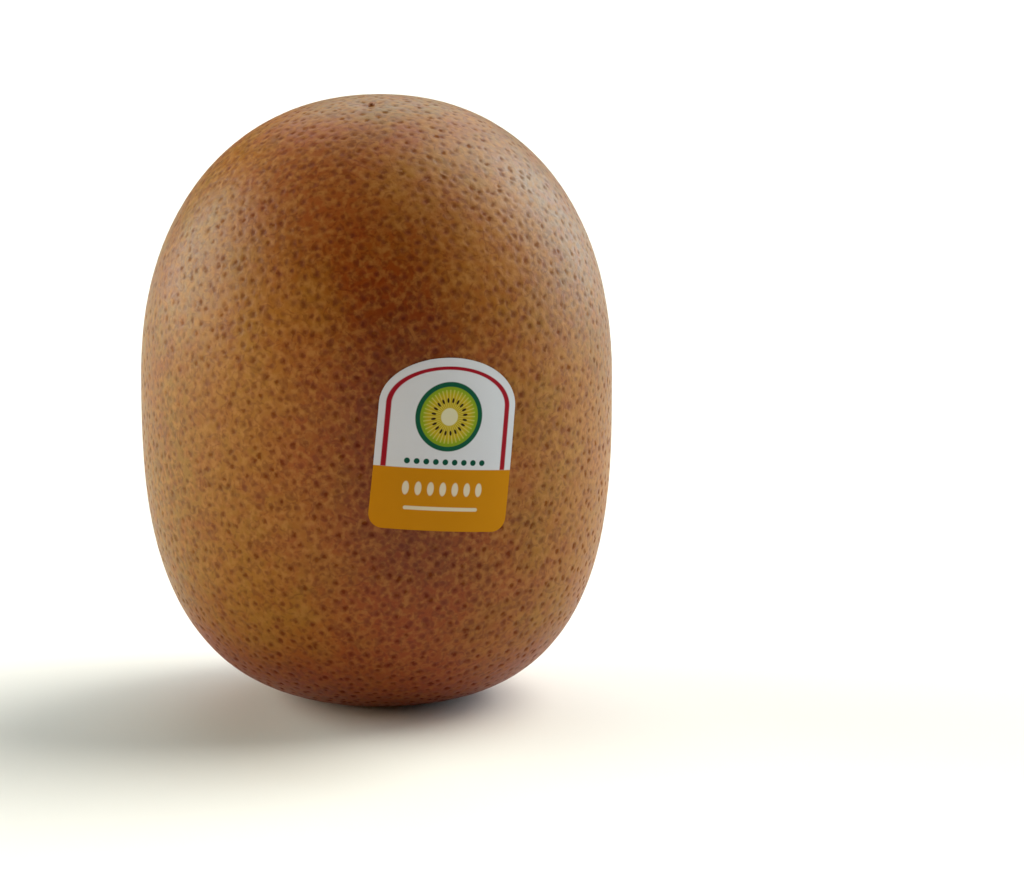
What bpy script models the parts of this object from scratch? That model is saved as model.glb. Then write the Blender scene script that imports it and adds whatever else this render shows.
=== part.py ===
"""A whole golden kiwi fruit, standing upright on its blunt stem end, with a small film label on its side.

The fruit is one solid, because it grew as one piece. Its outline is two half superellipses that meet at the
widest level, its skin is pitted with lenticels, its blossom end carries a dry knob in a dimple, and its stem
end is pressed flat where it rests, round a sunken scar with five dry sepals. The label is the only other piece.

Metres, +Z up. The origin is on the fruit's axis, level with the resting flat. The label is on the -Y side.
"""

import math
import random

import bmesh
import bpy
from mathutils import Vector

MM = 0.001
SHARP_ANGLE = math.radians(40)

# The fruit's body
WIDTH = 55.0 * MM  # along X, at the widest level
THICKNESS = 53.2 * MM  # along Y, at the widest level
HEIGHT = 70.6 * MM
WIDEST_LEVEL = 0.529 * HEIGHT
CROWN_POWER = 2.22  # of the superellipse above the widest level, where 2 is a plain ellipse
STEM_POWER = 2.82  # of the one below it, which is blunter
PRESSED = 0.4 * MM  # how much of the blunt end resting has flattened away
BOW = 0.43 * MM  # how far both ends lean towards +X
LOBES = ((3, 0.0030, 0.9), (5, 0.0016, 2.3))  # count round the fruit, share of its radius, phase in radians

# The skin and its lenticels
SKIN_POINTS = 3600
SKIN_BANDS = 2000  # level bands that the points' even spread is worked out in
EDGE_CLEARING = 1.0 * MM  # between the spread points and the edge of either end's own detail
LENTICEL_DEPTH = (0.10 * MM, 0.24 * MM)
SKIN_SWELL = 0.03 * MM
LABEL_CLEARING = 1.6 * MM  # the skin stays smooth this far round the label
RIM_FADE = 3.0 * MM  # lenticels fade out over this height above the resting flat
SEED = 12
GOLDEN_ANGLE = math.pi * (3 - math.sqrt(5))

# The blossom end, where the flower's styles dried to a knob
KNOB_CENTRE = (-0.4 * MM, -4.0 * MM)
DIMPLE_RADIUS = 2.6 * MM
DIMPLE_DEPTH = 0.30 * MM
KNOB_RADIUS = 0.62 * MM
KNOB_HEIGHT = 0.85 * MM
KNOB_STUBS = 5
STUB_SPREAD = 0.22  # how much the knob's edge rises and falls from stub to stub, as a share of its height
KNOB_RINGS = (0.80, 0.60, 0.44, 0.33, 0.26, 0.21, 0.14, 0.07)  # shares of the dimple's radius
KNOB_SIDES = 20

# The stem end, with the scar that the stalk left
SCAR_WELL_RADIUS = 4.2 * MM
SCAR_WELL_DEPTH = 0.95 * MM
SCAR_WELL_WALL = 0.7 * MM  # width of its sloping wall
SEPALS = 5
SEPAL_REACH = (1.7 * MM, 3.7 * MM)
SEPAL_RISE = 0.45 * MM
SCAR_RADIUS = 1.7 * MM
SCAR_RISE = 0.40 * MM
STALK_PIT_RADIUS = 0.5 * MM
STALK_PIT_DEPTH = 0.2 * MM
FLAT_RINGS = (0.80, 0.62, 0.50, 0.46, 0.42, 0.36, 0.30, 0.245, 0.20, 0.16, 0.10, 0.045)  # shares of its rim
FLAT_SIDES = 40

# The label, wrapped on the skin to the right of the middle
LABEL_WIDTH = 16.5 * MM
LABEL_HEIGHT = 20.0 * MM
LABEL_ARCH = 5.5 * MM  # height of its arched top
LABEL_CORNER = 1.7 * MM
LABEL_THICKNESS = 0.5 * MM
LABEL_GAP = 0.3 * MM
LABEL_TURN = math.radians(-72.1)  # round +Z from +X
LABEL_LEVEL = 34.8 * MM
LABEL_TILT = math.radians(-5.6)
LABEL_RINGS = 6
ARCH_STEPS = 16
CORNER_STEPS = 4
EDGE_STEP = 1.6 * MM  # between points along its straight edges


def level_share(z):
    """How far the outline reaches at height z, as a share of the widest level's reach."""
    if z > WIDEST_LEVEL:
        rise, power = (z - WIDEST_LEVEL) / (HEIGHT - WIDEST_LEVEL), CROWN_POWER
    else:
        rise, power = (WIDEST_LEVEL - z) / (WIDEST_LEVEL + PRESSED), STEM_POWER
    return max(0.0, 1 - min(rise, 1.0) ** power) ** (1 / power)


def crown_level(x, y):
    """The height of the plain outline above the widest level at this plan position."""
    share = math.hypot(x / (WIDTH / 2), y / (THICKNESS / 2))
    return WIDEST_LEVEL + (HEIGHT - WIDEST_LEVEL) * (1 - share**CROWN_POWER) ** (1 / CROWN_POWER)


def grown(point):
    """A point of the plain outline, moved as the fruit grew: faintly lobed, with both ends leaning to one side."""
    turn = math.atan2(point.y, point.x)
    swell = 1 + sum(share * math.cos(count * turn + phase) for count, share, phase in LOBES)
    lean = BOW * ((point.z - WIDEST_LEVEL) / (HEIGHT - WIDEST_LEVEL)) ** 2
    return Vector((point.x * swell + lean, point.y * swell, point.z))


def outline_point(z, turn):
    reach = level_share(z)
    return Vector((WIDTH / 2 * reach * math.cos(turn), THICKNESS / 2 * reach * math.sin(turn), z))


def skin_point(z, turn):
    return grown(outline_point(z, turn))


def skin_normal(z, turn):
    step = 1e-4
    along = skin_point(z, turn + step) - skin_point(z, turn - step)
    up = skin_point(z + step * WIDTH, turn) - skin_point(z - step * WIDTH, turn)
    return along.cross(up).normalized()


def even_spiral(count):
    """(height, turn) of points that spiral up the fruit with the same area of skin each."""
    heights = [HEIGHT * (1 - math.cos(math.pi * i / SKIN_BANDS)) / 2 for i in range(SKIN_BANDS + 1)]
    reaches = [WIDTH / 2 * level_share(z) for z in heights]
    areas = [0.0]
    for i in range(SKIN_BANDS):
        slant = math.hypot(heights[i + 1] - heights[i], reaches[i + 1] - reaches[i])
        areas.append(areas[-1] + slant * (reaches[i] + reaches[i + 1]) / 2)
    found, band = [], 0
    for i in range(count):
        wanted = areas[-1] * (i + 0.5) / count
        while areas[band + 1] < wanted:
            band += 1
        share = (wanted - areas[band]) / (areas[band + 1] - areas[band])
        found.append((heights[band] + share * (heights[band + 1] - heights[band]), i * GOLDEN_ANGLE))
    return found


def dimple_point(share, side):
    """A point on the blossom end: the skin sinks towards the knob, which stands up in the middle."""
    turn = 2 * math.pi * side / KNOB_SIDES
    distance = share * DIMPLE_RADIUS
    x = KNOB_CENTRE[0] + distance * math.cos(turn)
    y = KNOB_CENTRE[1] + distance * math.sin(turn)
    sunk = DIMPLE_DEPTH * (1 - share**2) ** 2
    dome = max(0.0, 1 - (distance / KNOB_RADIUS) ** 4) ** 0.5
    stubs = 1 + STUB_SPREAD * math.cos(KNOB_STUBS * turn) * (distance / KNOB_RADIUS)
    return Vector((x, y, crown_level(x, y) - sunk + KNOB_HEIGHT * dome * stubs))


def stem_end_height(distance, turn):
    """How far above the resting flat the stem end lies, at this distance from its middle."""
    if distance >= SCAR_WELL_RADIUS:
        return 0.0
    wall = min(1.0, (SCAR_WELL_RADIUS - distance) / SCAR_WELL_WALL)
    height = SCAR_WELL_DEPTH * wall * wall * (3 - 2 * wall)
    inner, outer = SEPAL_REACH
    if inner < distance < outer:
        along = math.sin(math.pi * (distance - inner) / (outer - inner)) ** 0.5
        petal = max(0.0, math.cos(SEPALS * turn)) ** 0.5
        height -= SEPAL_RISE * along * petal
    if distance <= SCAR_RADIUS:
        height -= SCAR_RISE * (1 - (distance / SCAR_RADIUS) ** 6)
    if distance <= STALK_PIT_RADIUS:
        height += STALK_PIT_DEPTH
    return height


def close_with_rings(mesh, edge, rings, place):
    """Fills the hole inside the edge, a loop of vertices, with rings of points that place(share, side) gives."""
    last = edge
    for share in rings:
        ring = [mesh.verts.new(place(share, side)) for side in range(len(edge))]
        for side in range(len(edge)):
            after = (side + 1) % len(edge)
            mesh.faces.new((last[side], last[after], ring[after], ring[side]))
        last = ring
    middle = mesh.verts.new(place(0.0, 0))
    for side in range(len(edge)):
        mesh.faces.new((last[side], last[(side + 1) % len(edge)], middle))


def near_label(z, turn):
    """Whether the skin here lies under the label or just round it."""
    across = math.remainder(turn - LABEL_TURN, 2 * math.pi) * WIDTH / 2
    up = z - LABEL_LEVEL
    return (
        abs(across) < LABEL_WIDTH / 2 + LABEL_CLEARING and abs(up) < LABEL_HEIGHT / 2 + LABEL_CLEARING
    )


def pit_skin(skin):
    """Sinks points of the skin as lenticels, no two of them side by side, and lets the others swell a little."""
    draw = random.Random(SEED)
    draw.shuffle(skin)
    pitted = set()
    for vertex, z, turn in skin:
        move = draw.uniform(-SKIN_SWELL, SKIN_SWELL)
        if pitted.isdisjoint(edge.other_vert(vertex) for edge in vertex.link_edges):
            pitted.add(vertex)
            move = -draw.uniform(*LENTICEL_DEPTH)
        if not near_label(z, turn):
            vertex.co += skin_normal(z, turn) * move * min(1.0, z / RIM_FADE)


def clear_of_ends(point):
    """Whether a point of the outline keeps off the resting flat and the dimple, whose detail is made apart."""
    if point.z > WIDEST_LEVEL:
        from_knob = math.hypot(point.x - KNOB_CENTRE[0], point.y - KNOB_CENTRE[1])
        return from_knob > DIMPLE_RADIUS + EDGE_CLEARING
    flat_radius = WIDTH / 2 * level_share(0.0)
    return math.hypot(point.x, point.y) > flat_radius + EDGE_CLEARING


def flat_point(share, side):
    """A point on the stem end: flat, with the well of the scar in its middle."""
    turn = 2 * math.pi * side / FLAT_SIDES
    point = outline_point(0.0, turn) * share
    point.z = stem_end_height(math.hypot(point.x, point.y), turn)
    return point


def build_fruit():
    mesh = bmesh.new()
    skin = []
    for z, turn in even_spiral(SKIN_POINTS):
        point = outline_point(z, turn)
        if clear_of_ends(point):
            skin.append((mesh.verts.new(point), z, turn))
    rim = [mesh.verts.new(flat_point(1.0, side)) for side in range(FLAT_SIDES)]
    dimple = [mesh.verts.new(dimple_point(1.0, side)) for side in range(KNOB_SIDES)]

    bmesh.ops.convex_hull(mesh, input=list(mesh.verts))
    for edge in (rim, dimple):
        inside = [face for face in mesh.faces if all(vertex in edge for vertex in face.verts)]
        bmesh.ops.delete(mesh, geom=inside, context="FACES")
    pit_skin(skin)
    close_with_rings(mesh, rim, FLAT_RINGS, flat_point)
    close_with_rings(mesh, dimple, KNOB_RINGS, dimple_point)
    for vertex in mesh.verts:
        vertex.co = grown(vertex.co)
    return finish_piece(mesh, "fruit", skin_material())


def round_corner(x, y, start):
    """Points round a lower corner of the label, about (x, y) and from the start angle on."""
    angles = [start + math.pi / 2 * step / CORNER_STEPS for step in range(CORNER_STEPS + 1)]
    return [(x + LABEL_CORNER * math.cos(a), y + LABEL_CORNER * math.sin(a)) for a in angles]


def between(start, end):
    """Even points inside the straight run from start to end, without its ends."""
    steps = math.ceil(math.dist(start, end) / EDGE_STEP)
    shares = [step / steps for step in range(1, steps)]
    return [(start[0] + s * (end[0] - start[0]), start[1] + s * (end[1] - start[1])) for s in shares]


def label_outline():
    """The label's edge as (across, up) points: an arched top, straight sides and rounded lower corners."""
    half, low = LABEL_WIDTH / 2, -LABEL_HEIGHT / 2
    spring = LABEL_HEIGHT / 2 - LABEL_ARCH
    angles = [math.pi * step / ARCH_STEPS for step in range(ARCH_STEPS + 1)]
    arch = [(half * math.cos(a), spring + LABEL_ARCH * math.sin(a)) for a in angles]
    left = round_corner(-half + LABEL_CORNER, low + LABEL_CORNER, math.pi)
    right = round_corner(half - LABEL_CORNER, low + LABEL_CORNER, 1.5 * math.pi)
    return (
        arch
        + between(arch[-1], left[0])
        + left
        + between(left[-1], right[0])
        + right
        + between(right[-1], arch[0])
    )


def label_point(across, up, lift):
    """A point of the label laid on the skin, this far off it."""
    turned_across = across * math.cos(LABEL_TILT) - up * math.sin(LABEL_TILT)
    turned_up = across * math.sin(LABEL_TILT) + up * math.cos(LABEL_TILT)
    z = LABEL_LEVEL + turned_up
    turn = LABEL_TURN + turned_across / (WIDTH / 2 * level_share(z))
    return skin_point(z, turn) + skin_normal(z, turn) * lift


def build_label():
    mesh = bmesh.new()
    outline = label_outline()

    def sheet(lift):
        def place(share, side):
            across, up = outline[side]
            return label_point(across * share, up * share, lift)

        edge = [mesh.verts.new(place(1.0, side)) for side in range(len(outline))]
        close_with_rings(mesh, edge, [ring / LABEL_RINGS for ring in range(LABEL_RINGS - 1, 0, -1)], place)
        return edge

    front, back = sheet(LABEL_GAP + LABEL_THICKNESS), sheet(LABEL_GAP)
    for side in range(len(outline)):
        after = (side + 1) % len(outline)
        mesh.faces.new((front[side], front[after], back[after], back[side]))
    return finish_piece(mesh, "label", film_material())


def material(name, colour, roughness):
    made = bpy.data.materials.new(name)
    made.use_nodes = True
    shader = made.node_tree.nodes["Principled BSDF"]
    shader.inputs["Base Color"].default_value = (*colour, 1)
    shader.inputs["Roughness"].default_value = roughness
    shader.inputs["Metallic"].default_value = 0.0
    return made


def skin_material():
    return material("kiwi_skin", (0.27, 0.13, 0.045), 0.55)


def film_material():
    return material("label_film", (0.80, 0.80, 0.78), 0.35)


def finish_piece(mesh, name, surface):
    bmesh.ops.recalc_face_normals(mesh, faces=mesh.faces)
    data = bpy.data.meshes.new(name)
    mesh.to_mesh(data)
    mesh.free()
    data.shade_smooth()
    data.set_sharp_from_angle(angle=SHARP_ANGLE)
    data.materials.append(surface)
    piece = bpy.data.objects.new(name, data)
    bpy.context.scene.collection.objects.link(piece)
    return piece


def main():
    for old in list(bpy.data.objects):
        bpy.data.objects.remove(old)
    build_fruit()
    build_label()


main()
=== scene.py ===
"""The looks of a whole golden kiwi fruit that stands on its blunt stem end, with a small film label.

Metres, +Z up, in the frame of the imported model. The skin is rebuilt from the solid's own formulas, with
every lenticel at its real size. The knob, the stem scar, the sepals and the label are finer than there.
"""

import math
import random

import bmesh
import bpy
import numpy as np
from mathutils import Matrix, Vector
from mathutils.kdtree import KDTree


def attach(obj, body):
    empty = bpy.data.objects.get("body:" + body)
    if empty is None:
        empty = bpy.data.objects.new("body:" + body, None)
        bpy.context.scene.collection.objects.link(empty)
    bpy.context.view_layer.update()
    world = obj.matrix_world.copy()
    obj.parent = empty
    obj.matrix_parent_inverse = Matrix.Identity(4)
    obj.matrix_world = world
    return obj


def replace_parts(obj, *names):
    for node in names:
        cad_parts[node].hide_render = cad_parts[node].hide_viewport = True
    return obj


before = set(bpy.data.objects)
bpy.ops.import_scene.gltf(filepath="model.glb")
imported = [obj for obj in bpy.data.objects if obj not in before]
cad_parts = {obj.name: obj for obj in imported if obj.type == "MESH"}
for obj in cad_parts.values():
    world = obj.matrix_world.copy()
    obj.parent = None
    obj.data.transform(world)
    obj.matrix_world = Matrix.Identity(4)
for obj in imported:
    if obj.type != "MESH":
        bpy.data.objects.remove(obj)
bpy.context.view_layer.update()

MM = 0.001

# The fruit's body, as in the solid
WIDTH = 55.0 * MM
THICKNESS = 53.2 * MM
HEIGHT = 70.6 * MM
WIDEST_LEVEL = 0.529 * HEIGHT
CROWN_POWER = 2.22
STEM_POWER = 2.82
PRESSED = 0.4 * MM
BOW = 0.43 * MM
LOBES = ((3, 0.0030, 0.9), (5, 0.0016, 2.3))  # how many round the fruit, share of its radius, phase
WAVES = ((210.0, 0.3), (340.0, 1.9), (520.0, 4.0))  # radians per metre and phase of the skin's waves
WAVE_DEPTH = 0.035 * MM
STEM_LEAN = BOW * (WIDEST_LEVEL / (HEIGHT - WIDEST_LEVEL)) ** 2  # how far the bow moves the stem end
SIDE_BANDS = 4000
FLAT_BANDS = 200

# The lenticels
SEED = 12
LENTICELS = 6150
GOLDEN_ANGLE = math.pi * (3 - math.sqrt(5))
JITTER = 0.45  # how far a lenticel strays from an even spread, as a share of the spacing
DOT_RADIUS = (0.14 * MM, 0.37 * MM)
DOT_STRETCH = 1.5  # length over width of the longest dots
PIT_DEPTH = (0.015 * MM, 0.085 * MM)
PIT_PLACES = (-24 * MM, -14 * MM, 18 * MM, 26 * MM)  # along X, where the pits' depth changes
PIT_SHARES = (0.35, 1.0, 1.0, 0.35)  # share of the full depth there
SKIN_CUTS = 3  # cuts across each edge between two lenticels
WELL_CORNERS = 20  # corners of the skin's edge round the scar's well

# The blossom end
KNOB_CENTRE = Vector((-0.8, -3.2)) * MM
DIMPLE_RADIUS = 2.6 * MM
DIMPLE_DEPTH = 0.30 * MM
KNOB_RADIUS = 0.42 * MM
KNOB_RISE = 0.42 * MM
KNOB_SUNK = 0.12 * MM
KNOB_SIDES = 28
STUBS = 11
STUB_RADIUS = 0.13 * MM
STUB_LENGTH = (0.14 * MM, 0.26 * MM)
STUB_SIDES = 10
TUBE_STEPS = 8

# The stem end
SCAR_WELL_RADIUS = 4.2 * MM
SCAR_WELL_DEPTH = 0.95 * MM
SCAR_WELL_WALL = 0.8 * MM
SCAR_REACH = 1.02 * SCAR_WELL_RADIUS  # the scar's piece ends just under the skin's edge
SCAR_RADIUS = 1.7 * MM
SCAR_RISE = 0.40 * MM
CALLUS_MIDDLE = 0.78  # share of the scar's radius
CALLUS_WIDTH = 0.16
STALK_PIT_RADIUS = 0.5 * MM
STALK_PIT_DEPTH = 0.30 * MM
SCAR_RINGS = 60
SCAR_SIDES = 120
ABOVE_FLOOR = 0.03 * MM  # least height of the scar's piece
SEPALS = 5
SEPAL_REACH = (1.5 * MM, 3.8 * MM)
SEPAL_WIDTH = 1.7 * MM
SEPAL_THICKNESS = 0.12 * MM
SEPAL_GAP = 0.06 * MM
SEPAL_FOLD = 0.10 * MM
SEPAL_CURL = 0.28 * MM
SEPAL_TWIST = 0.25
SEPAL_BED = 3.3 * MM  # past this distance the sepals leave the well's floor
SEPAL_LOWEST = 0.12 * MM
SEPAL_STEPS = (12, 6)  # along and across
HUSK_EDGE = math.radians(50)

# The label
LABEL_WIDTH = 16.5 * MM
LABEL_HEIGHT = 20.0 * MM
LABEL_ARCH = 5.5 * MM
LABEL_CORNER = 1.7 * MM
LABEL_TURN = math.radians(-72.1)
LABEL_LEVEL = 34.8 * MM
LABEL_TILT = math.radians(-5.6)
FILM_THICKNESS = 0.10 * MM
FILM_LIFT = 0.05 * MM  # the adhesive, which bridges the pits
FILM_EDGE = math.radians(40)
LABEL_RINGS = 26
ARCH_STEPS = 56
CORNER_STEPS = 8
EDGE_STEP = 0.5 * MM

# The label's print, in millimetres across and up from its middle
PRINT_EDGE = 0.06  # half the width of a printed edge
BAND_TOP = -2.75
ARCH_LINE = {"half_width": 7.15, "rise": 4.35, "width": 0.5}
SLICE_MIDDLE = (0.0, 3.3)
SLICE_RADIUS = 4.0
SLICE_RIM = 0.55
FLESH_EDGE = (2.3, 3.3)
RAY_END = 3.1
SEEDS = 20
SEED_RING = 1.9
SEED_SIZE = (0.13, 0.30)
CORE_RADIUS = 1.0
DOT_ROW = {"up": -1.95, "step": 1.12, "half_width": 5.04, "radii": (0.35, 0.35)}
OVAL_ROW = {"up": -5.1, "step": 1.45, "half_width": 5.3, "radii": (0.40, 0.80)}
STRIPE = {"up": -7.4, "height": 0.42, "half_width": 4.2}

# The skin's colours, painted sheen, painted highlights and painted shade among them
GOLD = (0.300, 0.101, 0.006)
OLIVE = (0.266, 0.112, 0.007)
GREEN = (0.205, 0.118, 0.016)
RUSSET = (0.222, 0.037, 0.002)
BLUSH = (0.285, 0.074, 0.011)
ROSY = (0.262, 0.056, 0.014)
# Painted highlight: a light tan for where the light falls brightest on the near side
PAINTED_HIGHLIGHT_TAN = (0.350, 0.140, 0.016)
PALE = (0.410, 0.174, 0.038)
# Painted sheen: a darker, duller skin under the upper right highlight, so that the lamps' reflection reads
# greyer
PAINTED_SHEEN_TONE = (0.165, 0.082, 0.020)
# Painted highlight: a pale grey tan along the top of the crown, where light from above falls
CROWN_PAINTED_HIGHLIGHT = (0.225, 0.130, 0.034)
DEEP = (0.185, 0.021, 0.001)
# Painted shade: the dark middle of the near side
PAINTED_SHADE = (0.150, 0.026, 0.001)
STAIN = (0.50, 0.32, 0.0)  # what a lenticel leaves of the colour round it

# Where those colours begin and end: along X, away from the russet stripe's middle, or up the fruit
GREEN_SIDE = (-26 * MM, -16 * MM)
OLIVE_SIDES = (9 * MM, 24 * MM)
FRONT = (-14 * MM, -6 * MM)  # along Y
STRIPE_EDGE = (3 * MM, 16 * MM)
STRIPE_TOP = (53 * MM, 63 * MM)
# Painted shade in the near side's middle: its edge away from the stripe's middle, and its foot and top
SHADE_EDGE = (1 * MM, 9 * MM)
SHADE_FOOT = (15 * MM, 23 * MM)
SHADE_TOP = (46 * MM, 56 * MM)
# Painted sheen on the shoulder begins and ends along this slope
SHOULDER_EDGE = (36 * MM, 47 * MM)  # along a slope up and to the right
# Painted highlight along the crown's top, between these heights
CROWN_EDGE = (68.6 * MM, 70.2 * MM)
RUSSET_FOOT = (3 * MM, 17 * MM)
DEEP_FOOT = (1 * MM, 12 * MM)
GRAIN_FOOT = (6 * MM, 26 * MM)
# Painted sheen: the lenticels fade towards the lit left side between these places
DOT_SIDE = (-25 * MM, -11 * MM)
DOT_LEVELS = (28 * MM, 52 * MM)

# Soft patches on the near side: middle and spread in millimetres, how strong, and colour. The light tan ones
# are painted highlights.
SOFT_PATCHES = (
    ((-6, -17, 63), 13, 0.60, ROSY),
    ((8, -21.5, 55), 12, 0.50, RUSSET),
    ((13.5, -18, 55.5), 11, 0.60, PAINTED_HIGHLIGHT_TAN),
    ((4.5, -17, 64), 7, 0.45, PAINTED_HIGHLIGHT_TAN),
    ((-14, -21, 46), 18, 0.32, PAINTED_HIGHLIGHT_TAN),
)

# The camera, fitted to the fruit's outline and the label's edges in the photograph
LENS = 240.0
SENSOR = 36.0
CAMERA_DISTANCE = 798.8 * MM
CAMERA_RISE = math.radians(12.0)
CAMERA_TARGET = Vector((15.82, 0.0, 29.19)) * MM
CAMERA_CLIP = (0.01, 20.0)

# The studio
FLOOR_REACH = 6.0
FLOOR_GAP = 0.05 * MM
FLOOR_COLOUR = (0.82, 0.78, 0.76)

# Far, wide, even lights: degrees round from +X, above the floor and across, then strength and colour
LIGHTS = {
    "left": (165, 9, 60, 5.00, (0.89, 1.00, 0.90)),
    "right": (30, 10, 60, 4.42, (0.78, 0.91, 0.95)),
    "right_high": (29, 47, 45, 2.80, (0.97, 0.93, 0.79)),
    "back_high": (80, 42, 60, 1.56, (0.78, 0.95, 1.00)),
    "left_front": (-150, 10, 50, 0.80, (1.00, 0.51, 0.10)),
}


# Outline of the fruit

def level_share(z):
    """How far the outline reaches at heights z, as a share of the widest level's reach."""
    above = z > WIDEST_LEVEL
    span = np.where(above, HEIGHT - WIDEST_LEVEL, WIDEST_LEVEL + PRESSED)
    power = np.where(above, CROWN_POWER, STEM_POWER)
    rise = np.minimum(np.abs(z - WIDEST_LEVEL) / span, 1.0)
    return (1 - rise**power) ** (1 / power)


def grown(reach, z, turn):
    """Points of the fruit's surface, lobed, leaning and faintly wavy, as an array of rows (x, y, z)."""
    swell = 1 + sum(share * np.cos(count * turn + phase) for count, share, phase in LOBES)
    lean = BOW * ((z - WIDEST_LEVEL) / (HEIGHT - WIDEST_LEVEL)) ** 2
    x = WIDTH / 2 * reach * np.cos(turn)
    y = THICKNESS / 2 * reach * np.sin(turn)
    waves = sum(
        np.sin(rate * x + phase) * np.sin(rate * y + 2 * phase) * np.sin(rate * z + 3 * phase)
        for rate, phase in WAVES
    )
    sunk = 1 - WAVE_DEPTH * (1 + waves / len(WAVES)) / (WIDTH / 2)
    return np.stack([x * swell * sunk + lean, y * swell * sunk, z], axis=-1)


def skin_points(z, turn):
    return grown(level_share(z), z, turn)


def skin_normals(z, turn):
    step = 1e-3
    along = skin_points(z, turn + step) - skin_points(z, turn - step)
    up = skin_points(z + step * WIDTH, turn) - skin_points(z - step * WIDTH, turn)
    normals = np.cross(along, up)
    return normals / np.linalg.norm(normals, axis=-1, keepdims=True)


class Outline:
    """The skin from the scar's edge to the crown, by the share of the whole surface below a level."""

    def __init__(self):
        flat_share = level_share(np.array(0.0))
        flat = np.linspace(SCAR_WELL_RADIUS / (WIDTH / 2), flat_share, FLAT_BANDS)[:-1]
        side = HEIGHT * (1 - np.cos(np.linspace(0, math.pi, SIDE_BANDS))) / 2
        self.level = np.concatenate([np.zeros(len(flat)), side])
        self.reach = np.concatenate([flat, level_share(side)])
        radius = self.reach * WIDTH / 2
        slant = np.hypot(np.diff(self.level), np.diff(radius))
        bands = slant * (radius[1:] + radius[:-1]) / 2
        below = SCAR_WELL_RADIUS**2 / 2 + np.concatenate([[0.0], np.cumsum(bands)])
        self.share = below / below[-1]

    def place(self, share, turn):
        """Points of the surface with this share of it below them."""
        reach = np.interp(share, self.share, self.reach)
        return grown(reach, np.interp(share, self.share, self.level), turn)


OUTLINE = Outline()


# Meshes and pieces

def rows_of(items, field):
    """A vector that each item of a mesh holds, as an array of rows (x, y, z)."""
    flat = np.empty(len(items) * 3, dtype=np.float32)
    items.foreach_get(field, flat)
    return flat.reshape(-1, 3)


def move_vertices(data, points):
    data.vertices.foreach_set("co", points.astype(np.float32).ravel())
    data.update()


def attribute(data, name, kind, domain, values):
    """Stores values, one row for each item of the domain, on mesh data."""
    made = data.attributes.new(name, kind, domain)
    field = "vector" if kind == "FLOAT_VECTOR" else "value"
    made.data.foreach_set(field, np.asarray(values, dtype=np.float32).ravel())


def ring_faces(rings, sides, flipped=False):
    """Four-sided faces between rings of points that follow one another in a list."""
    faces = []
    for ring in range(rings - 1):
        for side in range(sides):
            after = (side + 1) % sides
            this, following = ring * sides, (ring + 1) * sides
            a, b, c, d = this + side, this + after, following + after, following + side
            faces.append((a, d, c, b) if flipped else (a, b, c, d))
    return faces


def join(parts):
    """One list of points and one of faces from several such pairs."""
    points, faces = [], []
    for part_points, part_faces in parts:
        faces += [tuple(len(points) + corner for corner in face) for face in part_faces]
        points += part_points
    return points, faces


def smooth_mesh(name, points, faces, sharpest=None):
    """Smoothly shaded mesh data, in which edges that turn by more than the sharpest angle stay sharp."""
    data = bpy.data.meshes.new(name)
    data.from_pydata([tuple(point) for point in points], [], faces)
    data.shade_smooth()
    if sharpest is not None:
        data.set_sharp_from_angle(angle=sharpest)
    return data


def finish_piece(data, name, material):
    data.materials.append(material)
    piece = bpy.data.objects.new(name, data)
    bpy.context.scene.collection.objects.link(piece)
    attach(piece, "root")
    return piece


# Skin

def lenticel_directions():
    """Unit vectors, one for each lenticel, which stand for places on the skin by an equal-area map."""
    draw = random.Random(SEED)
    spacing = math.sqrt(4 * math.pi / LENTICELS)
    low = 2 * OUTLINE.share[0] - 1
    found = []
    for i in range(LENTICELS):
        level = low + (1 - low) * (i + 0.5) / LENTICELS
        turn = i * GOLDEN_ANGLE
        flat = math.sqrt(1 - level * level)
        point = Vector((flat * math.cos(turn), flat * math.sin(turn), level))
        stray = Vector([draw.gauss(0, 1) for axis in range(3)]).normalized() * spacing * JITTER
        point = (point + stray * draw.random() ** 0.5).normalized()
        if point.z > low + spacing / 2:
            found.append(point)
    return found


def places_of(directions):
    """Points of the skin that an array of unit vectors stands for."""
    turn = np.arctan2(directions[:, 1], directions[:, 0])
    return OUTLINE.place((directions[:, 2] + 1) / 2, turn)


def well_edge():
    """Unit vectors round the edge of the scar's well, evenly spaced."""
    level = 2 * OUTLINE.share[0] - 1
    flat = math.sqrt(1 - level * level)
    turns = [2 * math.pi * corner / WELL_CORNERS for corner in range(WELL_CORNERS)]
    return [Vector((flat * math.cos(t), flat * math.sin(t), level)) for t in turns]


def lenticel_net():
    """A finely cut net over the unit sphere with a vertex in each lenticel, and their unit vectors."""
    centres = lenticel_directions()
    net = bmesh.new()
    for point in centres:
        net.verts.new(point)
    edge = [net.verts.new(point) for point in well_edge()]
    bmesh.ops.convex_hull(net, input=list(net.verts))
    cap = [face for face in net.faces if all(vertex in edge for vertex in face.verts)]
    bmesh.ops.delete(net, geom=cap, context="FACES")
    bmesh.ops.subdivide_edges(net, edges=list(net.edges), cuts=SKIN_CUTS, use_grid_fill=True)
    return net, np.array(centres)


def two_nearest(points, targets):
    """Each point's two nearest targets, by number, and how far off they are, as arrays of two columns."""
    tree = KDTree(len(targets))
    for i, target in enumerate(targets):
        tree.insert(target, i)
    tree.balance()
    found = [tree.find_n(point, 2) for point in points]
    owners = np.array([[first[1], second[1]] for first, second in found])
    gaps = np.array([[first[2], second[2]] for first, second in found])
    return owners, gaps


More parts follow.
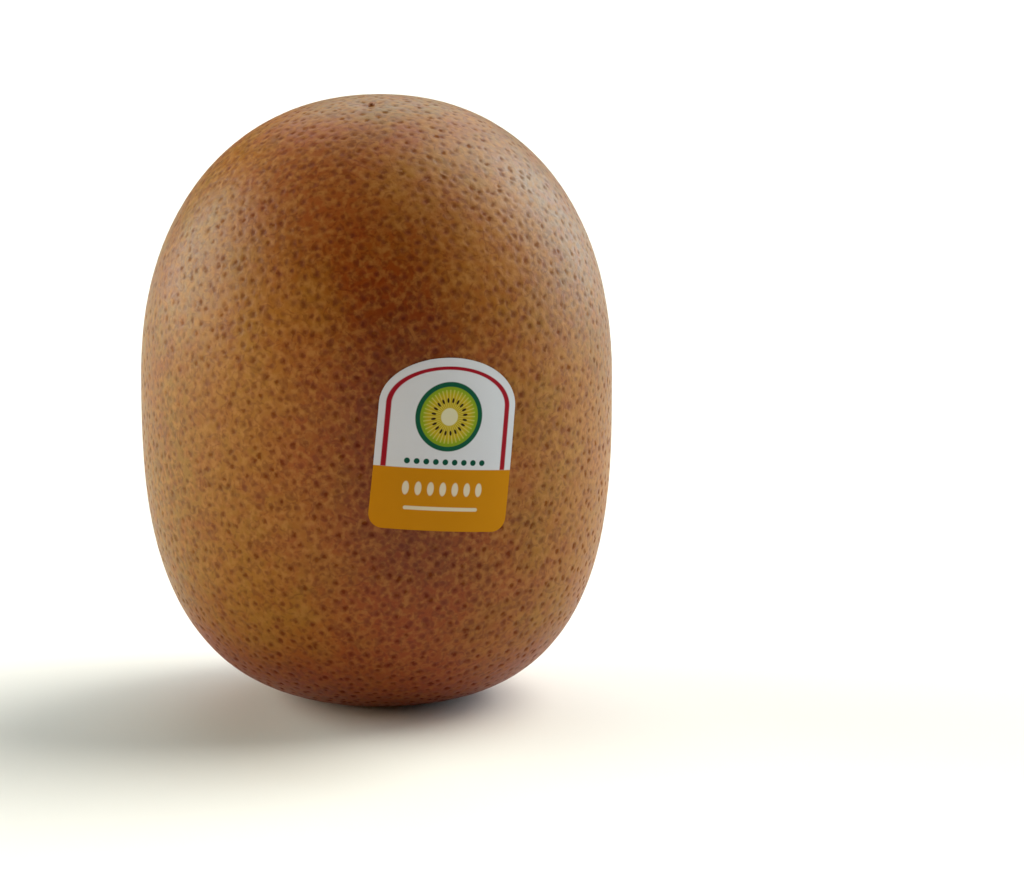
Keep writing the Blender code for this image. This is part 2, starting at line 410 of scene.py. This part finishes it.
class Lenticels:
    """Place, tone, size, pit depth and lie of every lenticel, as arrays."""

    def __init__(self, centres):
        draw = np.random.default_rng(SEED)
        count = len(centres)
        self.homes = places_of(centres)
        self.tone = draw.random(count)
        size = 0.5 * draw.beta(2.2, 1.6, count) + 0.5 * self.tone
        self.radius = DOT_RADIUS[0] + (DOT_RADIUS[1] - DOT_RADIUS[0]) * size
        self.depth = PIT_DEPTH[0] + (PIT_DEPTH[1] - PIT_DEPTH[0]) * size
        self.depth *= np.interp(self.homes[:, 0], PIT_PLACES, PIT_SHARES)
        self.stretch = 1 + (DOT_STRETCH - 1) * draw.random(count)
        lie = draw.normal(size=(count, 3))
        self.lie = lie / np.linalg.norm(lie, axis=1, keepdims=True)

    def sink(self, points, normals):
        """The skin's points, moved in where they lie in a pit."""
        owners, gaps = two_nearest(points, self.homes)
        to_ridge = 2 * gaps[:, 0] / gaps.sum(axis=1)
        return points - normals * (self.depth[owners[:, 0]] * (1 - to_ridge**2) ** 2)[:, None]

    def offsets(self, points, owner):
        """Rows from the owning lenticels' middles to points, in those lenticels' own radii."""
        offsets = (points - self.homes[owner]) / self.radius[owner][:, None]
        along = (offsets * self.lie[owner]).sum(axis=1, keepdims=True) * self.lie[owner]
        return offsets - along * (1 - 1 / self.stretch[owner])[:, None]


def press_dimple(points):
    """Sinks the skin's points round the knob, in place."""
    from_knob = np.hypot(points[:, 0] - KNOB_CENTRE.x, points[:, 1] - KNOB_CENTRE.y)
    share = np.minimum(from_knob / DIMPLE_RADIUS, 1.0)
    points[:, 2] -= np.where(points[:, 2] > WIDEST_LEVEL, DIMPLE_DEPTH * (1 - share**2) ** 2, 0.0)


def build_skin():
    net, centres = lenticel_net()
    data = bpy.data.meshes.new("skin")
    net.to_mesh(data)
    net.free()

    directions = rows_of(data.vertices, "co").astype(float)
    directions /= np.linalg.norm(directions, axis=1, keepdims=True)
    points = places_of(directions)
    move_vertices(data, points)
    normals = rows_of(data.vertex_normals, "vector")
    if (normals[:, 0] * points[:, 0]).sum() < 0:
        data.flip_normals()
        normals = -normals

    lenticels = Lenticels(centres)
    points = lenticels.sink(points, normals)
    press_dimple(points)
    move_vertices(data, points)
    data.shade_smooth()

    corners = np.empty(len(data.loops), dtype=np.int32)
    data.loops.foreach_get("vertex_index", corners)
    middles = points[corners.reshape(-1, 3)].mean(axis=1)
    owner = np.repeat(two_nearest(middles, lenticels.homes)[0][:, 0], 3)
    offsets = lenticels.offsets(points[corners], owner)
    attribute(data, "from_lenticel", "FLOAT_VECTOR", "CORNER", offsets)
    attribute(data, "lenticel_tone", "FLOAT", "CORNER", lenticels.tone[owner])
    return finish_piece(data, "skin", skin_material())


# Blossom end

def tube(path, radii, sides):
    """Points and faces of a tapered tube along a path of vectors, closed at its tip and open at its foot."""
    points = []
    for i, (place, radius) in enumerate(zip(path, radii)):
        ahead = path[min(i + 1, len(path) - 1)] - path[max(i - 1, 0)]
        turn = ahead.to_track_quat("Z", "X")
        for side in range(sides):
            angle = 2 * math.pi * side / sides
            points.append(place + turn @ Vector((radius * math.cos(angle), radius * math.sin(angle), 0)))
    tip = tuple((len(path) - 1) * sides + side for side in range(sides))
    return points, ring_faces(len(path), sides) + [tip]


def crown_height(x, y):
    share = math.hypot(x / (WIDTH / 2), y / (THICKNESS / 2))
    return WIDEST_LEVEL + (HEIGHT - WIDEST_LEVEL) * (1 - share**CROWN_POWER) ** (1 / CROWN_POWER)


def knob_mound(foot):
    turns = [math.pi / 2 * step / TUBE_STEPS for step in range(TUBE_STEPS)]
    path = [foot + Vector((0, 0, (KNOB_RISE + KNOB_SUNK) * math.sin(turn))) for turn in turns]
    return tube(path, [KNOB_RADIUS * math.cos(turn) ** 0.7 for turn in turns], KNOB_SIDES)


def knob_stub(foot, i, draw):
    """The stub with this number, which leans out of the clump on the mound."""
    angle = i * GOLDEN_ANGLE
    out = Vector((math.cos(angle), math.sin(angle), 0)) * KNOB_RADIUS
    start = foot + out * 0.75 * math.sqrt((i + 0.5) / STUBS)
    lean = out * draw.uniform(0.0, 0.5)
    length = draw.uniform(*STUB_LENGTH) + KNOB_SUNK
    shares = [step / (TUBE_STEPS - 1) for step in range(TUBE_STEPS)]
    path = [start + lean * up**2 + Vector((0, 0, length * up)) for up in shares]
    radii = [STUB_RADIUS * (1 - 0.5 * up) * draw.uniform(0.85, 1.15) for up in shares]
    return tube(path, radii, STUB_SIDES)


def build_knob():
    """The dry knob of the blossom end: a low corky mound with a clump of short broken stubs on it."""
    draw = random.Random(SEED + 1)
    x, y = KNOB_CENTRE
    foot = Vector((x + BOW, y, crown_height(x, y) - DIMPLE_DEPTH - KNOB_SUNK))
    points, faces = join([knob_mound(foot)] + [knob_stub(foot, i, draw) for i in range(STUBS)])
    data = smooth_mesh("blossom_knob", points, faces, HUSK_EDGE)
    husk = fibre_material("dark_husk", 0.20 * MM, (0.170, 0.050, 0.014), (0.320, 0.125, 0.045))
    return finish_piece(data, "blossom_knob", husk)


# Stem end

def well_height(distance):
    """How far above the resting flat the floor of the scar's well lies, this far from its middle."""
    wall = min(1.0, max(0.0, (SCAR_WELL_RADIUS - distance) / SCAR_WELL_WALL))
    return SCAR_WELL_DEPTH * wall * wall * (3 - 2 * wall)


def scar_height(distance, turn):
    """The well's floor, with the corky scar on it, ringed by a callus round the stalk's pit."""
    height = well_height(distance)
    if distance < SCAR_RADIUS:
        share = distance / SCAR_RADIUS
        callus = math.exp(-(((share - CALLUS_MIDDLE) / CALLUS_WIDTH) ** 2))
        knobs = 1 + 0.3 * math.sin(9 * turn + 1.0)
        height -= SCAR_RISE * (0.72 * (1 - share**8) + 0.28 * callus * knobs)
    if distance < STALK_PIT_RADIUS:
        height += STALK_PIT_DEPTH * (1 - (distance / STALK_PIT_RADIUS) ** 2)
    return height


def build_stem_scar():
    points = []
    for ring in range(SCAR_RINGS):
        distance = SCAR_REACH * (1 - ring / SCAR_RINGS)
        for side in range(SCAR_SIDES):
            turn = 2 * math.pi * side / SCAR_SIDES
            y = distance * math.sin(turn) * THICKNESS / WIDTH
            height = max(scar_height(distance, turn), ABOVE_FLOOR)
            points.append((distance * math.cos(turn) + STEM_LEAN, y, height))
    points.append((STEM_LEAN, 0, scar_height(0.0, 0.0)))
    faces = ring_faces(SCAR_RINGS, SCAR_SIDES, flipped=True)
    last, middle = (SCAR_RINGS - 1) * SCAR_SIDES, SCAR_RINGS * SCAR_SIDES
    for side in range(SCAR_SIDES):
        faces.append((last + side, middle, last + (side + 1) % SCAR_SIDES))
    data = smooth_mesh("stem_scar", points, faces)
    return finish_piece(data, "stem_scar", cork_material())


def sepal_points(turn, draw):
    """Both sides of one dry sepal, a thin pointed leaf that lies in the well with its tip curled."""
    along_steps, across_steps = SEPAL_STEPS
    inner, outer = SEPAL_REACH
    outer *= draw.uniform(0.9, 1.0)
    twist = draw.uniform(-SEPAL_TWIST, SEPAL_TWIST)
    points = []
    for lift in (0.0, SEPAL_THICKNESS):
        for i in range(along_steps + 1):
            along = i / along_steps
            half = SEPAL_WIDTH / 2 * math.sin(math.pi * (0.22 + 0.78 * along)) ** 0.8 + 0.02 * MM
            distance = inner + (outer - inner) * along
            bed = min(well_height(min(distance, SEPAL_BED)), SCAR_WELL_DEPTH)
            for j in range(across_steps + 1):
                across = 2 * j / across_steps - 1
                crease = SEPAL_FOLD * abs(across) + SEPAL_CURL * along**3
                crease += twist * across * 0.3 * MM * along
                height = max(bed - (SEPAL_GAP + crease + lift), SEPAL_LOWEST)
                x = distance * math.cos(turn) - half * across * math.sin(turn) + STEM_LEAN
                y = distance * math.sin(turn) + half * across * math.cos(turn)
                points.append((x, y, height))
    return points


def sepal_faces():
    along_steps, across_steps = SEPAL_STEPS
    width = across_steps + 1
    layer = (along_steps + 1) * width
    faces = []
    for i in range(along_steps):
        for j in range(across_steps):
            first = i * width + j
            face = (first, first + 1, first + width + 1, first + width)
            faces.append(face)
            faces.append(tuple(layer + corner for corner in reversed(face)))
    border = [(0, j) for j in range(across_steps)]
    border += [(i, across_steps) for i in range(along_steps)]
    border += [(along_steps, j) for j in range(across_steps, 0, -1)]
    border += [(i, 0) for i in range(along_steps, 0, -1)]
    ring = [i * width + j for i, j in border]
    for first, second in zip(ring, ring[1:] + ring[:1]):
        faces.append((second, first, layer + first, layer + second))
    return faces


def build_sepals():
    draw = random.Random(SEED + 2)
    turns = [2 * math.pi * (i + draw.uniform(-0.12, 0.12)) / SEPALS for i in range(SEPALS)]
    points, faces = join([(sepal_points(turn, draw), sepal_faces()) for turn in turns])
    data = smooth_mesh("sepals", points, faces, HUSK_EDGE)
    husk = fibre_material("dry_husk", 0.25 * MM, (0.045, 0.015, 0.006), (0.16, 0.070, 0.028))
    return finish_piece(data, "sepals", husk)


# Label

def round_corner(x, y, start):
    angles = [start + math.pi / 2 * step / CORNER_STEPS for step in range(CORNER_STEPS + 1)]
    return [(x + LABEL_CORNER * math.cos(a), y + LABEL_CORNER * math.sin(a)) for a in angles]


def between(start, end):
    """Even points inside the straight run from start to end, without its ends."""
    steps = math.ceil(math.dist(start, end) / EDGE_STEP)
    shares = [step / steps for step in range(1, steps)]
    return [(start[0] + s * (end[0] - start[0]), start[1] + s * (end[1] - start[1])) for s in shares]


def label_outline():
    """The label's edge as (across, up) points: arched top, straight sides and rounded lower corners."""
    half, low = LABEL_WIDTH / 2, -LABEL_HEIGHT / 2
    spring = LABEL_HEIGHT / 2 - LABEL_ARCH
    angles = [math.pi * step / ARCH_STEPS for step in range(ARCH_STEPS + 1)]
    arch = [(half * math.cos(a), spring + LABEL_ARCH * math.sin(a)) for a in angles]
    left = round_corner(-half + LABEL_CORNER, low + LABEL_CORNER, math.pi)
    right = round_corner(half - LABEL_CORNER, low + LABEL_CORNER, 1.5 * math.pi)
    runs = [between(arch[-1], left[0]), between(left[-1], right[0]), between(right[-1], arch[0])]
    return arch + runs[0] + left + runs[1] + right + runs[2]


def label_points(flat, lift):
    """Points of the label laid on the skin, from rows (across, up), this far off it."""
    across = flat[:, 0] * math.cos(LABEL_TILT) - flat[:, 1] * math.sin(LABEL_TILT)
    z = LABEL_LEVEL + flat[:, 0] * math.sin(LABEL_TILT) + flat[:, 1] * math.cos(LABEL_TILT)
    turn = LABEL_TURN + across / (WIDTH / 2 * level_share(z))
    return skin_points(z, turn) + skin_normals(z, turn) * lift


def build_label():
    edge = np.array(label_outline())
    sides = len(edge)
    shares = [ring / LABEL_RINGS for ring in range(LABEL_RINGS, 0, -1)]
    flat = np.concatenate([edge * share for share in shares] + [np.zeros((1, 2))])
    front = label_points(flat, FILM_LIFT + FILM_THICKNESS)
    back = label_points(flat, FILM_LIFT)
    faces = ring_faces(LABEL_RINGS, sides)
    last, middle = (LABEL_RINGS - 1) * sides, LABEL_RINGS * sides
    rim = []
    for side in range(sides):
        after = (side + 1) % sides
        faces.append((last + side, last + after, middle))
        rim.append((after, side, len(flat) + side, len(flat) + after))
    under = [tuple(len(flat) + corner for corner in reversed(face)) for face in faces]
    points = np.concatenate([front, back]).tolist()
    data = smooth_mesh("label_film", points, faces + under + rim, FILM_EDGE)
    print_place = np.concatenate([flat, flat]) / MM
    print_place = np.column_stack([print_place, np.zeros(len(print_place))])
    attribute(data, "print_mm", "FLOAT_VECTOR", "POINT", print_place)
    return finish_piece(data, "label_film", label_material())


# Materials

class Nodes:
    """Short calls for building a material's nodes."""

    def __init__(self, name):
        self.material = bpy.data.materials.new(name)
        self.material.use_nodes = True
        self.tree = self.material.node_tree
        self.shader = self.tree.nodes["Principled BSDF"]

    def feed(self, socket, value):
        if isinstance(value, bpy.types.NodeSocket):
            self.tree.links.new(value, socket)
        elif hasattr(value, "__len__") and len(value) == 3 and len(socket.default_value) == 4:
            socket.default_value = (*value, 1.0)
        else:
            socket.default_value = value

    def node(self, kind, inputs=(), **settings):
        made = self.tree.nodes.new(kind)
        for key, value in settings.items():
            setattr(made, key, value)
        for key, value in dict(inputs).items():
            self.feed(made.inputs[key], value)
        return made

    def place(self):
        return self.node("ShaderNodeTexCoord").outputs["Object"]

    def stored(self, name, output="Fac"):
        return self.node("ShaderNodeAttribute", attribute_name=name).outputs[output]

    def noise(self, size, detail=2.0, roughness=0.5, twist=0.0):
        """Noise with features of about this size in metres, drawn out into curls by the twist."""
        inputs = {"Scale": 1 / size, "Detail": detail, "Roughness": roughness, "Distortion": twist}
        return self.node("ShaderNodeTexNoise", {**inputs, "Vector": self.place()}).outputs["Fac"]

    def math(self, operation, first, second=0.0):
        return self.node("ShaderNodeMath", {0: first, 1: second}, operation=operation).outputs[0]

    def plus(self, first, *others):
        for other in others:
            first = self.math("ADD", first, other)
        return first

    def minus(self, first, second):
        return self.math("SUBTRACT", first, second)

    def times(self, first, *others):
        for other in others:
            first = self.math("MULTIPLY", first, other)
        return first

    def ramp(self, value, low, high, out_low=0.0, out_high=1.0):
        """Value taken smoothly from low..high to out_low..out_high."""
        inputs = {"Value": value, "From Min": low, "From Max": high}
        inputs |= {"To Min": out_low, "To Max": out_high}
        made = self.node("ShaderNodeMapRange", inputs, interpolation_type="SMOOTHSTEP")
        return made.outputs["Result"]

    def from_one(self, mask, end):
        """1 where the mask is 0, taken smoothly to the end value where it is 1."""
        return self.ramp(mask, 0.0, 1.0, 1.0, end)

    def mix(self, share, first, second, blend="MIX"):
        made = self.node("ShaderNodeMix", data_type="RGBA", blend_type=blend)
        self.feed(made.inputs["Factor"], share)
        self.feed(made.inputs[6], first)
        self.feed(made.inputs[7], second)
        return made.outputs[2]

    def near(self, point, inner, outer):
        """1 within the inner distance of a point, in metres, down to 0 at the outer one."""
        made = self.node("ShaderNodeVectorMath", {0: self.place(), 1: point}, operation="DISTANCE")
        return self.ramp(made.outputs["Value"], inner, outer, 1.0, 0.0)

    def length(self, vector):
        return self.node("ShaderNodeVectorMath", {0: vector}, operation="LENGTH").outputs["Value"]

    def bump(self, height, distance, strength, normal=None):
        inputs = {"Height": height, "Distance": distance, "Strength": strength}
        made = self.node("ShaderNodeBump", inputs)
        if normal is not None:
            self.feed(made.inputs["Normal"], normal)
        return made.outputs["Normal"]

    def finish(self, **inputs):
        for key, value in inputs.items():
            self.feed(self.shader.inputs[key.replace("_", " ")], value)
        return self.material


# Skin material

class SkinNodes(Nodes):
    """The skin's nodes, with the places, slow noises and masks that several of its layers use."""

    def __init__(self):
        super().__init__("kiwi_skin")
        place = self.node("ShaderNodeSeparateXYZ", {0: self.place()})
        self.x, self.y, self.z = (place.outputs[axis] for axis in "XYZ")
        self.drift = self.noise(16 * MM, 3.0, 0.6)
        self.clouds = self.noise(5.5 * MM, 2.0, 0.6)
        self.grain = self.noise(0.85 * MM, 2.0, 0.55)
        self.ragged = self.ramp(self.drift, 0.25, 0.75, -5 * MM, 5 * MM)
        top_shift = self.ramp(self.z, 48 * MM, 66 * MM, 3 * MM, -4 * MM)
        stripe_middle = self.plus(top_shift, self.ramp(self.z, 14 * MM, 30 * MM, 3 * MM, 0.0))
        self.sideways = self.math("ABSOLUTE", self.minus(self.x, stripe_middle))
        self.front = self.ramp(self.y, *FRONT, 1.0, 0.0)
        slope = self.plus(self.times(self.x, 0.9), self.times(self.z, 0.45), self.times(self.ragged, 0.3))
        self.shoulder = self.ramp(slope, *SHOULDER_EDGE)
        self.painted_shade = self.painted_shade_share()
        self.reach = self.length(self.stored("from_lenticel", "Vector"))
        self.dot = self.dot_share()

    def painted_shade_share(self):
        """Painted shade: the dark middle of the near side, in the russet stripe round the label."""
        return self.times(
            self.ramp(self.sideways, *SHADE_EDGE, 1.0, 0.0),
            self.front,
            self.ramp(self.z, *SHADE_FOOT),
            self.ramp(self.z, *SHADE_TOP, 1.0, 0.0),
        )

    def russet_share(self):
        """A stripe up the front, ragged at its sides, with the stem end and some patches."""
        stripe = self.times(
            self.ramp(self.plus(self.sideways, self.ragged), *STRIPE_EDGE, 1.0, 0.0),
            self.front,
            self.ramp(self.z, *STRIPE_TOP, 1.0, 0.2),
        )
        base = self.ramp(self.plus(self.z, self.ragged), *RUSSET_FOOT, 0.9, 0.0)
        patches = self.ramp(self.drift, 0.52, 0.70, 0.0, 0.5)
        share = self.math("MAXIMUM", self.math("MAXIMUM", stripe, base), patches)
        return self.times(share, self.ramp(self.clouds, 0.35, 0.65, 1.0, 0.72))

    def grain_share(self):
        """A net of paler grain between the lenticels, faint under the painted shade and under the painted
        sheen on the shoulder.
        """
        return self.times(
            self.ramp(self.grain, 0.42, 0.72, 0.0, 0.6),
            self.from_one(self.painted_shade, 0.65),
            self.from_one(self.shoulder, 0.55),
            self.ramp(self.z, *GRAIN_FOOT, 0.5, 1.0),
        )

    def dot_share(self):
        """How dark a lenticel makes the skin: ragged at its edge, and by its own tone and its place, faded
        for painted sheen on the lit left side and on the shoulder.
        """
        ragged = self.plus(self.reach, self.ramp(self.noise(0.40 * MM, 1.0), 0.25, 0.75, -0.4, 0.4))
        tone = self.math("POWER", self.stored("lenticel_tone"), 1.2)
        return self.times(
            self.ramp(ragged, 0.1, 1.35, 1.0, 0.0),
            self.ramp(tone, 0.0, 1.0, 0.30, 1.15),
            self.ramp(self.x, *DOT_SIDE, 0.5, 1.0),
            self.from_one(self.shoulder, 0.68),
            self.ramp(self.z, *DOT_LEVELS, 1.03, 0.80),
        )


def ground_colour(make):
    """The skin's slow changes of colour over the fruit, from the most general to the most local; among them
    are painted sheen on the shoulder, painted highlights on the crown and in the light tan patches, and
    painted shade in the near side's middle.
    """
    colour = make.mix(make.ramp(make.clouds, 0.36, 0.62), GOLD, OLIVE)
    flush = make.noise(7 * MM, 2.0, 0.55)
    colour = make.mix(make.ramp(flush, 0.50, 0.68, 0.0, 0.75), colour, BLUSH)
    colour = make.mix(make.ramp(make.sideways, *OLIVE_SIDES, 0.0, 0.75), colour, OLIVE)
    colour = make.mix(make.ramp(make.x, *GREEN_SIDE, 0.65, 0.0), colour, GREEN)
    # Painted sheen: darker, duller skin on the shoulder
    colour = make.mix(make.times(make.shoulder, 0.85), colour, PAINTED_SHEEN_TONE)
    # Painted highlight along the crown's top
    colour = make.mix(make.ramp(make.z, *CROWN_EDGE, 0.0, 0.55), colour, CROWN_PAINTED_HIGHLIGHT)
    colour = make.mix(make.russet_share(), colour, RUSSET)
    # Soft patches; the light tan ones are painted highlights
    for middle, spread, share, tint in SOFT_PATCHES:
        patch = make.near(Vector(middle) * MM, 0.2 * spread * MM, spread * MM)
        colour = make.mix(make.times(patch, share), colour, tint)
    # Painted shade in the near side's middle, round the label
    colour = make.mix(make.times(make.painted_shade, 0.85), colour, PAINTED_SHADE)
    return make.mix(make.ramp(make.z, *DEEP_FOOT, 0.85, 0.0), colour, DEEP)


def stained_colour(make, colour):
    """Small flecks and creases, and the lenticels with a soft stain and a faint pale rim, the rim being a
    painted highlight on each pit's edge.
    """
    dark = make.mix(1.0, colour, STAIN, "MULTIPLY")
    fleck = make.node("ShaderNodeTexVoronoi", {"Scale": 1 / (1.1 * MM), "Vector": make.place()})
    fleck = make.ramp(fleck.outputs["Distance"], 0.05, 0.40, 0.40, 0.0)
    crease = make.ramp(make.noise(1.2 * MM, 1.0, 0.5, 1.6), 0.50, 0.64, 0.0, 0.50)
    colour = make.mix(make.math("MAXIMUM", fleck, crease), colour, dark)
    colour = make.mix(make.ramp(make.reach, 0.4, 2.6, 0.34, 0.0), colour, dark)
    # Painted highlight: a faint pale ring round each pit's edge
    rim = make.times(make.ramp(make.reach, 1.2, 1.7), make.ramp(make.reach, 1.9, 2.7, 1.0, 0.0))
    colour = make.mix(make.times(rim, 0.10), colour, PALE)
    return make.mix(make.dot, colour, dark)


def skin_material():
    make = SkinNodes()
    mottle = make.noise(1.9 * MM, 3.0, 0.65)
    colour = make.mix(make.ramp(mottle, 0.42, 0.72, 0.0, 0.45), ground_colour(make), RUSSET)
    colour = stained_colour(make, make.mix(make.grain_share(), colour, PALE))
    normal = make.bump(make.ramp(make.reach, 0.0, 2.0), 0.022 * MM, 0.5)
    pebbles = make.times(make.noise(0.80 * MM, 3.0, 0.6), make.from_one(make.shoulder, 2.1))
    normal = make.bump(pebbles, 0.065 * MM, 0.5, normal)
    roughness = make.plus(make.ramp(make.grain, 0.3, 0.7, 0.38, 0.50), make.times(make.dot, 0.5))
    roughness = make.math("MINIMUM", roughness, 1.0)
    return make.finish(Base_Color=colour, Roughness=roughness, Normal=normal, Specular_IOR_Level=0.21)


# Materials of the two ends

def fibre_material(name, size, dark, light):
    """Dead dry husk, with fibres of this size."""
    make = Nodes(name)
    fibres = make.noise(size, 3.0, 0.7)
    colour = make.mix(make.ramp(fibres, 0.3, 0.7), dark, light)
    roughness = make.ramp(fibres, 0.2, 0.8, 0.85, 0.65)
    return make.finish(Base_Color=colour, Roughness=roughness, Normal=make.bump(fibres, 0.2 * size, 0.8))


def cork_material():
    """The corky scar and the floor of its well, which takes on the skin's colours towards the edge."""
    make = Nodes("corky_scar")
    crumbs = make.noise(0.35 * MM, 4.0, 0.7)
    stain = make.noise(1.6 * MM, 2.0)
    colour = make.mix(make.ramp(crumbs, 0.3, 0.7), (0.13, 0.060, 0.024), (0.34, 0.20, 0.10))
    colour = make.mix(make.ramp(stain, 0.4, 0.65, 0.0, 0.6), colour, (0.09, 0.040, 0.018))
    skin = make.mix(make.ramp(crumbs, 0.3, 0.7), (0.180, 0.034, 0.004), (0.240, 0.066, 0.010))
    inside = make.near((0.0, 0.0, 0.0), SCAR_WELL_RADIUS * 0.55, SCAR_WELL_RADIUS)
    colour = make.mix(inside, skin, colour)
    roughness = make.ramp(stain, 0.3, 0.7, 0.8, 0.92)
    return make.finish(Base_Color=colour, Roughness=roughness, Normal=make.bump(crumbs, 0.12 * MM, 0.9))


# Label material

class PrintNodes(Nodes):
    """The label's nodes, with masks for the printed shapes from its (across, up) places in millimetres."""

    def __init__(self):
        super().__init__("label_print")
        place = self.node("ShaderNodeSeparateXYZ", {0: self.stored("print_mm", "Vector")})
        self.across, self.up = place.outputs["X"], place.outputs["Y"]

    def inside(self, distance, limit):
        return self.ramp(distance, limit - PRINT_EDGE, limit + PRINT_EDGE, 1.0, 0.0)

    def above(self, up):
        return self.ramp(self.up, up - PRINT_EDGE, up + PRINT_EDGE)

    def hypot(self, first, second):
        squares = [self.math("POWER", self.math("ABSOLUTE", side), 2.0) for side in (first, second)]
        return self.math("SQRT", self.plus(*squares))

    def oval(self, across, up, radii):
        """How far out of an oval a place is: 0 in its middle and 1 on its edge."""
        wide = self.math("DIVIDE", across, radii[0])
        return self.hypot(wide, self.math("DIVIDE", up, radii[1]))

    def repeat(self, value, step):
        """The value counted afresh in each step, from minus half a step to half a step."""
        return self.minus(self.math("FLOORED_MODULO", value, step), step / 2)

    def stripe(self, up, height, half_width):
        """A round-ended stripe."""
        past_end = self.minus(self.math("ABSOLUTE", self.across), half_width)
        over = self.math("MAXIMUM", past_end, 0.0)
        return self.inside(self.hypot(over, self.minus(self.up, up)), height / 2)

    def arch(self, half_width, rise, width):
        """A line that runs up both sides and over the top, like the label's own edge."""
        spring = LABEL_HEIGHT / 2 / MM - LABEL_ARCH / MM
        over = self.math("MAXIMUM", self.minus(self.up, spring), 0.0)
        reach = self.oval(self.across, over, (half_width, rise))
        off = self.times(self.minus(reach, 1.0), (half_width + rise) / 2)
        return self.inside(self.math("ABSOLUTE", off), width / 2)

    def row(self, up, step, half_width, radii):
        """A row of upright oval spots, the middle one on the label's axis."""
        across = self.repeat(self.plus(self.across, step / 2), step)
        spots = self.ramp(self.oval(across, self.minus(self.up, up), radii), 0.85, 1.1, 1.0, 0.0)
        return self.times(spots, self.inside(self.math("ABSOLUTE", self.across), half_width))

    def polar(self, across, up):
        """Distance and angle of each place about a centre."""
        x, y = self.minus(self.across, across), self.minus(self.up, up)
        return self.hypot(x, y), self.math("ARCTAN2", y, x)


def slice_motif(make, colour):
    """A plain kiwi slice: green rim, golden flesh with paler rays, dark seeds and a cream core."""
    rim, green_flesh, flesh = (0.004, 0.080, 0.042), (0.210, 0.320, 0.014), (0.440, 0.330, 0.012)
    ray, seed, core = (0.620, 0.540, 0.150), (0.020, 0.010, 0.006), (0.620, 0.590, 0.400)
    distance, angle = make.polar(*SLICE_MIDDLE)
    colour = make.mix(make.inside(distance, SLICE_RADIUS), colour, rim)
    colour = make.mix(make.inside(distance, SLICE_RADIUS - SLICE_RIM), colour, green_flesh)
    colour = make.mix(make.ramp(distance, *FLESH_EDGE, 1.0, 0.0), colour, flesh)
    rays = make.ramp(make.math("SINE", make.times(angle, 2 * SEEDS)), 0.0, 1.0, 0.0, 0.55)
    colour = make.mix(make.times(rays, make.inside(distance, RAY_END)), colour, ray)
    sideways = make.times(make.repeat(angle, 2 * math.pi / SEEDS), distance)
    from_seed = make.oval(sideways, make.minus(distance, SEED_RING), SEED_SIZE)
    colour = make.mix(make.ramp(from_seed, 0.8, 1.15, 1.0, 0.0), colour, seed)
    return make.mix(make.inside(distance, CORE_RADIUS), colour, core)


def label_material():
    make = PrintNodes()
    paper, gold, cream = (0.62, 0.64, 0.70), (0.510, 0.205, 0.001), (0.66, 0.58, 0.44)
    red, green = (0.300, 0.006, 0.016), (0.002, 0.066, 0.040)
    colour = make.mix(make.inside(make.up, BAND_TOP), paper, gold)
    colour = make.mix(make.times(make.arch(**ARCH_LINE), make.above(BAND_TOP)), colour, red)
    colour = slice_motif(make, colour)
    colour = make.mix(make.row(**DOT_ROW), colour, green)
    colour = make.mix(make.row(**OVAL_ROW), colour, cream)
    colour = make.mix(make.stripe(**STRIPE), colour, cream)
    soft_wave = make.bump(make.noise(1.6 * MM, 1.0), 0.05 * MM, 0.35)
    roughness = make.ramp(make.noise(3.0 * MM, 2.0), 0.3, 0.7, 0.42, 0.52)
    return make.finish(Base_Color=colour, Roughness=roughness, Normal=soft_wave, Specular_IOR_Level=0.06)


# Studio

def soft_light(name, turn, rise, spread, strength, colour):
    data = bpy.data.lights.new(name, "SUN")
    data.energy = strength
    data.angle = math.radians(spread)
    data.color = colour
    light = bpy.data.objects.new(name, data)
    turn, rise = math.radians(turn), math.radians(rise)
    flat = math.cos(rise)
    toward = Vector((flat * math.cos(turn), flat * math.sin(turn), math.sin(rise)))
    light.rotation_euler = toward.to_track_quat("Z", "Y").to_euler()
    bpy.context.scene.collection.objects.link(light)


def build_floor():
    size = FLOOR_REACH
    data = bpy.data.meshes.new("floor")
    corners = [(-size, -size, 0), (size, -size, 0), (size, size, 0), (-size, size, 0)]
    data.from_pydata(corners, [], [(0, 1, 2, 3)])
    data.materials.append(Nodes("floor").finish(Base_Color=FLOOR_COLOUR, Roughness=0.8))
    floor = bpy.data.objects.new("floor", data)
    floor.location.z = -FLOOR_GAP
    bpy.context.scene.collection.objects.link(floor)


def build_studio():
    build_floor()
    for name, light in LIGHTS.items():
        soft_light(name, *light)
    world = bpy.data.worlds.new("studio")
    world.use_nodes = True
    background = world.node_tree.nodes["Background"]
    background.inputs["Color"].default_value = (1.0, 1.0, 1.0, 1.0)
    background.inputs["Strength"].default_value = 0.0
    bpy.context.scene.world = world
    bpy.context.scene.view_settings.view_transform = "Standard"


def build_camera():
    data = bpy.data.cameras.new("camera")
    data.lens = LENS
    data.sensor_width = SENSOR
    data.clip_start, data.clip_end = CAMERA_CLIP
    camera = bpy.data.objects.new("camera", data)
    back = Vector((0.0, -math.cos(CAMERA_RISE), math.sin(CAMERA_RISE)))
    camera.location = CAMERA_TARGET + back * CAMERA_DISTANCE
    camera.rotation_euler = (-back).to_track_quat("-Z", "Y").to_euler()
    bpy.context.scene.collection.objects.link(camera)
    bpy.context.scene.camera = camera


build_camera()
build_studio()
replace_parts(build_skin(), "fruit")
build_knob()
build_stem_scar()
build_sepals()
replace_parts(build_label(), "label")
